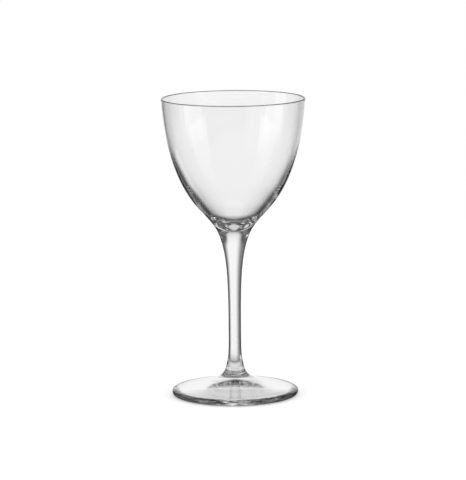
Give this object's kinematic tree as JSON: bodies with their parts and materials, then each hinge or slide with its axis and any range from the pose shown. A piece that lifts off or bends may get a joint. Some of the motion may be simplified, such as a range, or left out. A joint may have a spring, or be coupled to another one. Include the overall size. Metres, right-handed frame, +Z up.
{
  "type": "nick and nora glass",
  "caption": "Small stemmed cocktail glass with a deep rounded bowl, a slender drawn stem and a round flat foot, all in clear fused glass.",
  "frame": {"origin": "middle of the foot, on the surface that the glass stands on", "axes": "+Z up along the axis of the stem, towards the rim; the glass is round, so +X and +Y are any two level directions"},
  "size_m": [0.072, 0.072, 0.1495],
  "materials": {
    "clear_glass": "fire-polished clear soda-lime glass, colourless"
  },
  "bodies": {
    "root": {"bowl": "clear_glass", "stem": "clear_glass", "foot": "clear_glass"}
  },
  "joints": []
}
